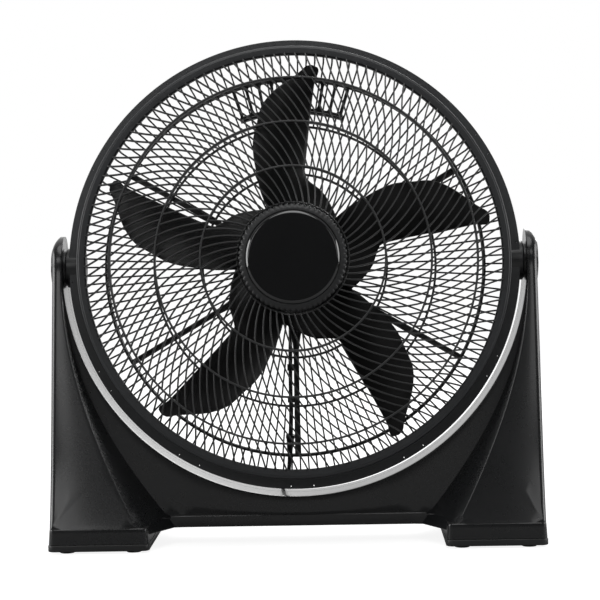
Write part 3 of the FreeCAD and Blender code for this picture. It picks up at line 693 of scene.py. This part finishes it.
def makeFeet():
    for side, name in ((-1, "left"), (1, "right")):
        low, top = feet["plateTop"], stand["footTop"]
        levels = [(low, 0.6), (low + 0.6, feet["grow"]), (16, 0.9), (20, 0.62), (25, 0.3), (top - 1, 0.06),
                  (top - 0.4, -0.12), (top, -0.6)]
        rings = [[(x, y, z) for x, y in footOutline(side, grow)] for z, grow in levels]
        piece(name + "_foot_skin", Shape().loops(rings), standPlace, "stand", "tower",
              [name + "_foot"])
        low, top = feet["padHeight"], feet["plateTop"]
        wide = feet["plateGrow"]
        levels = [(low, wide - 0.9), (low + 0.25, wide - 0.3), (low + 0.9, wide), (top - 1.3, wide),
                  (top - 0.6, wide - 0.25), (top - 0.15, wide - 0.9), (top, wide - 1.5)]
        rings = [[(x, y, z) for x, y in footOutline(side, grow)] for z, grow in levels]
        piece(name + "_foot_base", Shape().loops(rings), standPlace, "stand", "plate",
              [name + "_foot_plate"])
    pads = Shape()
    upright = Matrix.Rotation(pi / 2, 4, "X")
    first, second = feet["padInset"]
    r, top = feet["padRadius"], feet["padTop"]
    outline = rounded([(0, 0), (r, 0), (r, top), (0, top)], [0, 0.8, 0.3, 0])
    for side in (-1, 1):
        for x in (stand["footInner"] + first, stand["halfWidth"] - second):
            for y in (-feet["padRow"], feet["padRow"]):
                start = len(pads.points)
                pads.lathe(outline, 40)
                pads.points[start:] = [tuple(upright @ Vector(p) + Vector((side * x, y, 0)))
                                       for p in pads.points[start:]]
    pads.points = [(x, y, max(0.0, z)) for x, y, z in pads.points]
    piece("foot_pads", pads, standPlace, "stand", "pad", ["rubber_pads"])


pivots = {"cap": 26, "boss": 24.4, "bossStart": 262.5, "bossEnd": 284.4, "bore": 4.1}


def makePivots():
    for side, name in ((-1, "left"), (1, "right")):
        turn = sideways if side > 0 else sideways @ Matrix.Rotation(pi, 4, "Z")
        edge, start = pivots["cap"], stand["halfWidth"]
        cap = rounded([(0, start - 0.5), (edge, start - 0.5), (edge, start + 2.0), (edge - 5, start + 2.6),
                       (edge - 7, start + 1.9), (8, start + 1.9), (6, start + 2.5), (0, start + 2.5)],
                      [0, 0, 0.8, 0.6, 0.5, 0.5, 0.4, 0])
        lift = Matrix.Translation((0, 0, pivotHeight))
        piece(name + "_pivot_cover", Shape().lathe(cap, 96), standPlace @ lift @ turn, "stand", "cap",
              [name + "_pivot_cap"])
        edge, start, end = pivots["boss"], pivots["bossStart"], pivots["bossEnd"]
        bore = pivots["bore"]
        boss = rounded([(bore, start), (edge, start), (edge, end), (edge - 3.5, end), (edge - 4.5, end - 1.2),
                        (10, end - 1.2), (9, end), (bore, end)], [0, 0, 1.2, 0.4, 0.4, 0.4, 0.4, 0])
        piece(name + "_pivot_block", Shape().lathe(boss, 96), headPlace @ turn, "head", "drum",
              [name + "_pivot_boss"])


screws = {
    "crossLong": 0.578, "crossWide": 0.122, "crossDeep": 0.75,  # shares of the head's radius and height
    "shellRadius": 4.5, "shellBase": 33.5, "shellTop": 36.6, "shellPlaces": [(95, 41.5), (205, 60), (262, 150)],
    "coverRadius": 3.6, "coverBase": 26.5, "coverTop": 28.7, "coverRing": 61,
}


def screwShape(radius, base, top, centre, cuts):  # a pan head facing +Y with a cross cut in it
    x, z = centre
    long, wide = screws["crossLong"] * radius, screws["crossWide"] * radius
    edge = 0.5 * (top - base)
    outline = rounded([(0, base), (radius, base), (radius, top), (0, top + 0.15)], [0, 0, edge, 0])
    cross = [(-wide, -long), (wide, -long), (wide, -wide), (long, -wide), (long, wide), (wide, wide),
             (wide, long), (-wide, long), (-wide, wide), (-long, wide), (-long, -wide), (-wide, -wide)]
    deep = top - screws["crossDeep"] * (top - base)
    cuts.loops([[(x + a, y, z + b) for a, b in cross] for y in (deep, top + 1)])
    return Shape().lathe(outline, 40, (x, z))


def makeScrews(name, places, radius, base, top, place, body, replaced):
    heads, cuts = Shape(), Shape()
    for centre in places:
        one = screwShape(radius, base, top, centre, cuts)
        start = len(heads.points)
        heads.points += one.points
        heads.faces += [tuple(start + corner for corner in face) for face in one.faces]
    made = piece(name, heads, place, body, "steel", [replaced])
    carve(made, cuts, place)


makeStand()
makeFeet()
makePivots()
makeScrews("shell_screws", [(side * x, z) for side in (-1, 1) for x, z in screws["shellPlaces"]],
           screws["shellRadius"], screws["shellBase"], screws["shellTop"], standPlace, "stand", "stand_screws")
print("stand made")


guard = {
    "rings": (68, 113, 169, 225.4, 257), "counts": (60, 80, 110, 125), "halfWidth": 0.95, "halfDepth": 2.5,
    "twist": (0.24, 0.233, 0.219), "passes": ((73, 1.63), (116, 4.13), (172, 2.87), (227, 1.26)),
    "ringThick": 1.35, "ringDepth": 11, "middleFace": -80.5, "edgeFace": -62, "chamfer": 0.55,
    "hubRingBack": 5.5,
}


def dome(r):  # depth of the front guard's face
    if r <= guard["rings"][3]:
        drop = guard["edgeFace"] - guard["middleFace"]
        return guard["middleFace"] + drop * (r / guard["rings"][3]) ** 2
    past = r - guard["rings"][3]
    return guard["edgeFace"] + 0.165 * past + 0.006 * past ** 2


def ribTurn(band, r):  # how far a rib has swept round by a radius, in degrees
    if band < 3:
        return guard["twist"][band] * r
    past = r - guard["rings"][3]
    return 0.185 * past - 0.0016 * past ** 2


def makeFrontGuard():
    ribs = Shape()
    half = guard["halfDepth"]
    for band, count in enumerate(guard["counts"]):
        inner, outer = guard["rings"][band], guard["rings"][band + 1]
        known, angle = guard["passes"][band]
        stops = [inner + (outer - inner) * k / 7 for k in range(8)]
        for i in range(count):
            start = angle + 360 * i / count - ribTurn(band, known)
            path = [polar(r, start + ribTurn(band, r), dome(r) + half) for r in stops]
            ribs.bar(path, guard["halfWidth"], half, guard["chamfer"])
    thick = guard["ringThick"]
    for k, r in enumerate(guard["rings"][:4]):
        face = dome(r) - 0.5 + (0 if k else guard["hubRingBack"])
        back = face + guard["ringDepth"]
        ribs.lathe(rounded([(r - thick, face), (r + thick, face), (r + thick * 0.8, back),
                            (r - thick * 0.8, back)], [0.9, 0.9, 0.4, 0.4], 2), 240)
    piece("front_guard", ribs, headPlace, "head", "ribs", ["front_grille"], sharp=40)


badge = {
    "ringOuter": 66.4, "ringInner": 57.4, "ringFace": -83.6, "ringBack": -74, "flutes": 60, "fluteSteps": 8,
    "fluteDeep": 1.5, "disc": 57.0, "discFace": -86.0, "discBack": -77,
}


def makeBadge():  # the fluted ring and the plain disc in the middle of the guard
    count, perFlute = badge["flutes"], badge["fluteSteps"]
    rings = []
    outer, inner, face = badge["ringOuter"], badge["ringInner"], badge["ringFace"]
    for i in range(count * perFlute):
        turn = 2 * pi * i / (count * perFlute)
        wave = 0.5 + 0.5 * cos(2 * pi * i / perFlute)
        dip = badge["fluteDeep"] * (1 - wave) ** 2
        outline = [(inner, face + 0.6), (inner + 0.5, face + 0.1), (inner + 1.2, face),
                   (outer - 4.6, face + 0.8), (outer - 2.2 - dip, face + 1.8),
                   (outer - 0.8 - dip, face + 2.8), (outer - dip, face + 4.2),
                   (outer - dip * 0.7, badge["ringBack"]), (inner, badge["ringBack"])]
        rings.append([(r * cos(turn), y, r * sin(turn)) for r, y in outline])
    piece("hub_ring_fluted", Shape().loops(rings, closed=True), headPlace, "head", "hubRing",
          ["hub_ring"])
    r, face = badge["disc"], badge["discFace"]
    outline = rounded([(0, face), (r - 3, face + 0.25), (r, face + 2.6), (r, badge["discBack"]),
                       (0, badge["discBack"])], [0, 3.0, 1.5, 0, 0], 5)
    piece("hub_disc", Shape().lathe(outline, 240), headPlace, "head", "cap", ["hub_cap"])


shroud = {
    "opening": 256, "outer": 267.5, "face": -50, "flange": 280, "flangeFront": -22, "seam": -19,
    "flangeBack": -15, "wall": 2.5, "drum": 265.5, "rear": 18, "clips": 12, "firstClip": 1.3,
    "slotAt": 2.9, "slotFrom": 275.8, "slotTo": 277.4, "slotWide": 1.0, "drumRibs": 150, "ribHalf": 1.1,
}


def clipAngles():
    return [shroud["firstClip"] + 360 * k / shroud["clips"] for k in range(shroud["clips"])]


def makeShroud():
    r0, r1, r2, face = shroud["opening"], shroud["outer"], shroud["flange"], shroud["face"]
    front, seam, back, wall = shroud["flangeFront"], shroud["seam"], shroud["flangeBack"], shroud["wall"]
    outline = rounded([(r0, face + 2.2), (r0 + 1.6, face + 0.4), (r1 - 3.4, face), (r1 - 2.9, face + 0.45),
                       (r1 - 0.2, face + 1.1), (r1, front), (r2, front), (r2, seam + 0.25), (r2 - 0.3, seam),
                       (r1 - wall, seam), (r1 - wall, face + 3.4), (r0 + 2, face + 3.4), (r0 + 2, face + 9),
                       (r0, face + 9)],
                      [0.8, 0.8, 0.25, 0.3, 2.2, 1.6, 0.8, 0, 0, 0, 1, 0.6, 0.5, 0.5], 4)
    slots = Shape()
    half = shroud["slotWide"] / 2
    for angle in clipAngles():
        for side in (-1, 1):
            slots.block((shroud["slotFrom"], front - 1, -half), (shroud["slotTo"], back + 1, half), 0.5,
                        angle + side * shroud["slotAt"])
    bezel = piece("front_ring", Shape().lathe(outline, 288), headPlace, "head", "bezel",
                  ["front_bezel"])
    carve(bezel, slots, headPlace)
    drum, rear = shroud["drum"], shroud["rear"]
    outline = rounded([(drum - 3, seam), (r2 - 0.3, seam), (r2, seam + 0.25), (r2, back), (drum + 1.5, back),
                       (drum, back + 2), (drum - 3, back + 2)], [0, 0, 0, 0.8, 1.2, 0.8, 0.4], 4)
    housing = piece("drum_wall", Shape().lathe(outline, 288), headPlace, "head", "drum",
                    ["drum_housing"])
    carve(housing, slots, headPlace)
    side, half = Shape(), shroud["ribHalf"]
    for k in range(shroud["drumRibs"]):  # the wall is a row of ribs that bend in towards the rear guard
        angle = rearGuard["phases"][3] + 360 * k / shroud["drumRibs"]
        across = polar(half, angle + 90, 0)
        rings = []
        for r, y in ((drum - 1.5, back), (drum - 1.5, back + 16), (drum - 2.2, rear - 8),
                     (drum - 4.2, rear - 2.2), (drum - 5.5, rear - 1.9)):
            rings.append([polar(r + deep, angle, y) + across * wide for deep, wide in
                          ((-1.5, -0.6), (-1.1, -1), (1.1, -1), (1.5, -0.6), (1.5, 0.6), (1.1, 1), (-1.1, 1),
                           (-1.5, 0.6))])
        side.loops(rings)
    piece("drum_ribs", side, headPlace, "head", "rearRibs", sharp=40)
    clips = Shape()
    for angle in clipAngles():
        clips.block((r2 - 7.2, back - 0.3, -11), (r2 - 0.6, back + 4.6, 11), 1.2, angle)
        clips.block((r2 - 6.0, back + 4.0, -3), (r2 - 1.4, back + 5.0, 3), 0.8, angle)
    piece("snap_clips", clips, headPlace, "head", "drum", ["grille_clips"])


rearGuard = {
    "rings": (72, 116, 177, 238), "outer": 260.5, "counts": (72, 100, 135, 150),
    "phases": (0.7, 0.8, 1.54, 1.95), "halfWidth": 0.95, "face": 14, "depth": 4, "ringThick": 1.4,
    "arms": [(70, 13), (78, 9), (88, 6), (98, 4.3), (110, 3.4), (237, 3.4)], "armFace": 18, "armDeep": 6,
    "armCount": 6, "firstArm": 30, "hubRing": (58, 76), "rimRing": (235.8, 240.2),
}


def makeRearGuard():
    ribs = Shape()
    face, deep = rearGuard["face"], rearGuard["depth"]
    for band, count in enumerate(rearGuard["counts"]):
        inner, outer = (*rearGuard["rings"], rearGuard["outer"])[band:band + 2]
        for i in range(count):
            angle = rearGuard["phases"][band] + 360 * i / count
            ribs.bar([polar(inner, angle, face + deep / 2), polar(outer, angle, face + deep / 2)],
                     rearGuard["halfWidth"], deep / 2, guard["chamfer"])
    thick, front, back = rearGuard["ringThick"], face - 0.3, face + deep
    for r in rearGuard["rings"]:
        ribs.lathe(rounded([(r - thick, front), (r + thick, front), (r + thick, back), (r - thick, back)],
                           0.7, 2), 240)
    piece("rear_guard", ribs, headPlace, "head", "rearRibs", ["rear_grille"], sharp=40)
    arms = Shape()
    face, deep = rearGuard["armFace"], rearGuard["armDeep"]
    for (inner, outer), segments in ((rearGuard["hubRing"], 160), (rearGuard["rimRing"], 240)):
        arms.lathe(rounded([(inner, face), (outer, face), (outer, face + deep), (inner, face + deep)], 1.0),
                   segments)
    for k in range(rearGuard["armCount"]):
        angle = rearGuard["firstArm"] + 360 / rearGuard["armCount"] * k
        arms.bar([polar(r, angle, face + deep / 2) for r, _ in rearGuard["arms"]],
                 [half for _, half in rearGuard["arms"]], deep / 2, 0.3)
    piece("rear_arms", arms, headPlace, "head", "rearRibs", ["rear_spider"], sharp=40)


grip = {
    "from": 71.5, "to": 109.5, "section": [(200.2, 46.2), (206.3, 46.2), (206.3, 57.8), (200.2, 57.8)],
    "legs": (72.5, 108.5), "legHalf": 2.0, "bars": 9, "barHalf": 1.9, "barFrom": 200, "barTo": 237.5,
    "railHalf": 1.7,
}


def makeGrip():
    shape = Shape()
    outline = rounded(grip["section"], 2.2, 4)
    shape.arc(outline, grip["from"], grip["to"], 48)
    half = grip["legHalf"]
    for angle in grip["legs"]:
        shape.block((200.6, 18, -half), (205.9, 50, half), 1.2, angle)
        shape.block((204, 18.2, -half), (236, 25.8, half), 1.2, angle)
    piece("carry_grip", shape, headPlace, "head", "cover", ["carry_handle"])
    bars = Shape()
    face, deep = rearGuard["armFace"], rearGuard["armDeep"]
    first, last = grip["legs"]
    for k in range(1, grip["bars"]):
        angle = first + (last - first) * k / grip["bars"]
        stops = [grip["barFrom"], grip["barFrom"] + 2.5, grip["barFrom"] + 6, grip["barTo"] - 6,
                 grip["barTo"] - 2.5, grip["barTo"]]
        widths = [grip["barHalf"] * wide for wide in (3.0, 1.6, 1.0, 1.0, 1.6, 3.0)]
        bars.bar([polar(r, angle, face + deep / 2) for r in stops], widths, deep / 2, 0.3)
    half = grip["railHalf"]
    for r in (grip["barFrom"], grip["barTo"]):
        bars.arc(rounded([(r - half, face), (r + half, face), (r + half, face + deep),
                          (r - half, face + deep)], 0.8), first - 0.8, last + 0.8, 40)
    piece("grip_bars", bars, headPlace, "head", "rearRibs")


blades = {
    "count": 5, "apart": 72.1, "thick": 1.9, "root": 62, "tip": 249.5, "pitch": (38, -16), "camber": 5,
    "leading": [(62, 24), (69, 34.5), (76, 43.7), (87, 57.7), (97.6, 68.6), (103, 77.0), (108, 81.6),
                (114, 82.9), (180, 82.9), (232, 82.6), (238, 82.1), (243, 81.9), (246, 82.0), (248, 82.4),
                (249.2, 83.2), (249.5, 83.9)],
    "trailing": [(62, 117), (78, 115.8), (95.8, 114.6), (115.4, 112.2), (135, 110.4), (154.7, 108),
                 (174, 104.4), (196.4, 100.8), (213.6, 96), (227, 91.2), (236, 88.3), (243, 86.6),
                 (246, 86.0), (248, 85.4), (249.2, 84.7), (249.5, 84.2)],
}


def bladeDepth(r, offset, share):  # offset is measured round from the blade's own line, in degrees
    span = (r - blades["root"]) / (blades["tip"] - blades["root"])
    pitch = radians(blades["pitch"][0] + blades["pitch"][1] * span)
    along = radians(offset) * r / (1.12 * cos(pitch))
    fall = along * sin(pitch)
    if fall < 0:  # the swept root levels out towards the rear
        fall = -9 * (1 - 2.718 ** (fall / 9))
    return -16 - 2 * span - fall - blades["camber"] * sin(pi * share) * (1 - span ** 3)


def makeRotor():
    shape = Shape()
    across, rows = 16, 44
    thick = blades["thick"] / 2
    for index in range(blades["count"]):
        rings = []
        for k in range(rows + 1):
            r = blades["root"] + (blades["tip"] - blades["root"]) * (1 - (1 - k / rows) ** 1.25)
            lead, trail = between(blades["leading"], r), between(blades["trailing"], r)
            front, rear = [], []
            for j in range(across + 1):
                share = 0.5 - 0.5 * cos(pi * j / across)
                turn = lead + (trail - lead) * share
                y = bladeDepth(r, turn - 82.9, share)
                lean = thick * min(1.0, 6 * sqrt(max(0.0, share * (1 - share))) + 0.12)
                front.append(polar(r, turn + blades["apart"] * index, y - lean))
                rear.append(polar(r, turn + blades["apart"] * index, y + lean))
            rings.append(front + rear[::-1])
        shape.loops(rings)
    hub = rounded([(4.1, -66), (60, -66), (65, -61), (65, -16), (62.5, -16), (62.5, -60), (59, -63.5),
                   (11, -63.5), (11, -36), (4.1, -36)], [0, 2.5, 2.5, 0.8, 0.8, 2, 2, 1, 0.6, 0], 4)
    shape.lathe(hub, 160)
    piece("rotor_blades", shape, headPlace, "rotor", "blade", ["fan_blade"], sharp=38)
    nut = Shape().lathe(rounded([(4, -66), (14, -66), (14, -69), (11, -74), (4, -74)], [0, 0.6, 1, 1, 0]), 72)
    for k in range(6):
        nut.block((9, -73, -1.2), (15.5, -66, 1.2), 0.4, 60 * k)
    piece("rotor_nut", nut, headPlace, "rotor", "knob", ["blade_nut"])


cover = {"front": 26.5, "back": 84, "slots": 24, "rearSlots": 30, "ticks": 4}
knob = {"base": 86, "top": 98, "bar": 104, "radius": 18, "bore": 3.05}


def makeMotorCover():
    y0, y1 = cover["front"], cover["back"]
    outline = rounded([(74, y0), (72, y0 + 34), (64, y1 - 6), (56, y1), (30, y1), (28, y1 - 0.9), (4, y1 - 0.9),
                       (4, y1 - 2.5), (55, y1 - 2.5), (62, y1 - 8), (69.5, y0 + 33), (71.5, y0 + 2.5),
                       (70.3, y0 + 2.5), (70.3, y0)],
                      [0.8, 6, 5, 5, 0.6, 0.6, 0, 0, 4, 4, 4, 0.5, 0.5, 0], 5)
    made = piece("motor_cover", Shape().lathe(outline, 192), headPlace, "head", "cover",
                 ["motor_rear_cover"])
    slots = Shape()
    for k in range(cover["slots"]):
        slots.block((64, y0 + 10, -1.6), (78, y0 + 28, 1.6), 0.7, 360 / cover["slots"] * (k + 0.5))
    for k in range(cover["rearSlots"]):
        slots.block((40, y1 - 4, -1.2), (49, y1 + 1, 1.2), 1.0, 360 / cover["rearSlots"] * (k + 0.5))
    carve(made, slots, headPlace)
    marks = Shape()
    for k in range(cover["ticks"]):  # longer as the speed rises
        marks.block((22.5, y1 - 0.95, -0.7), (24.5 + 0.9 * k, y1 - 0.6, 0.7), 0.3, 90 + 45 * k)
    piece("dial_ticks", marks, headPlace, "head", "mark")
    base, top, bar, r = knob["base"], knob["top"], knob["bar"], knob["radius"]
    turner = Shape()
    rings = []
    for i in range(180):  # fine ribs round the knob's side
        turn = 2 * pi * i / 180
        dip = 0.35 * (1 if i % 4 < 2 else 0)
        outline = [(knob["bore"], base), (r - dip, base), (r - 0.3 - dip, base + 5),
                   (r - 0.8 - dip, top - 1.2), (r - 1.6, top - 0.2), (r - 3, top), (knob["bore"], top)]
        rings.append([(a * cos(turn), y, a * sin(turn)) for a, y in outline])
    turner.loops(rings, closed=True)
    handle = []
    for y, wide, long in ((top - 1, 4.0, 16), (top + 2, 3.9, 15.9), (bar - 1.2, 3.4, 15.2),
                          (bar - 0.3, 2.9, 14.7), (bar, 2.1, 13.9)):
        outline = rounded([(-wide, -long), (wide, -long), (wide, long), (-wide, long)], 0.8 * wide, 5)
        handle.append([(a, y, b) for a, b in outline])
    turner.loops(handle)
    piece("speed_dial", turner, headPlace, "knob", "knob", ["speed_knob"])
    pointer = Shape().block((-0.6, bar - 0.3, 6), (0.6, bar, 13), 0.4)
    piece("dial_pointer", pointer, headPlace, "knob", "mark")


leadRoute = [(-7.5, 44, -62), (-7.5, 46, -69), (-7.5, 46, -84), (-7.5, 30, -98), (-7.5, 21.5, -112),
             (-7.9, 21.6, -150), (-7.5, 21.5, -186), (-8.5, 23, -204), (-9, 26, -212)]


def makeLead():  # the motor's own lead, clipped to the lowest arm
    path = splineThrough("leadLine", [headPlace @ Vector(point) for point in leadRoute])
    piece("motor_lead_run", tubeAlong(path, cordParts["diameter"] * mm / 2), Matrix.Identity(4), "head",
          "cord", ["motor_lead"], sharp=60)


inside = {"drum": ["left_friction_washer", "right_friction_washer"],
          "steel": ["left_pivot_bolt", "right_pivot_bolt", "motor_shaft", "front_bearing", "rear_bearing",
                    "switch_stem"],
          "motor": ["motor_front_cover", "motor_rear_bracket"], "laminate": ["stator_core", "rotor_core"],
          "copper": ["stator_windings"], "cover": ["speed_switch", "capacitor", "lead_clips"]}


def finishInside():
    for look, names in inside.items():
        for name in names:
            mesh = bpy.data.objects[name].data
            mesh.materials.clear()
            mesh.materials.append(finishes[look])


makeFrontGuard()
makeBadge()
makeShroud()
print("guard and shroud made")
makeRearGuard()
makeGrip()
makeRotor()
print("rear guard and rotor made")
makeMotorCover()
ring = screws["coverRing"]
makeScrews("motor_screws", [(ring, 0), (0, ring), (-ring, 0), (0, -ring)], screws["coverRadius"],
           screws["coverBase"], screws["coverTop"], headPlace, "head", "cover_screws")
makeLead()
finishInside()
print("motor and controls made")
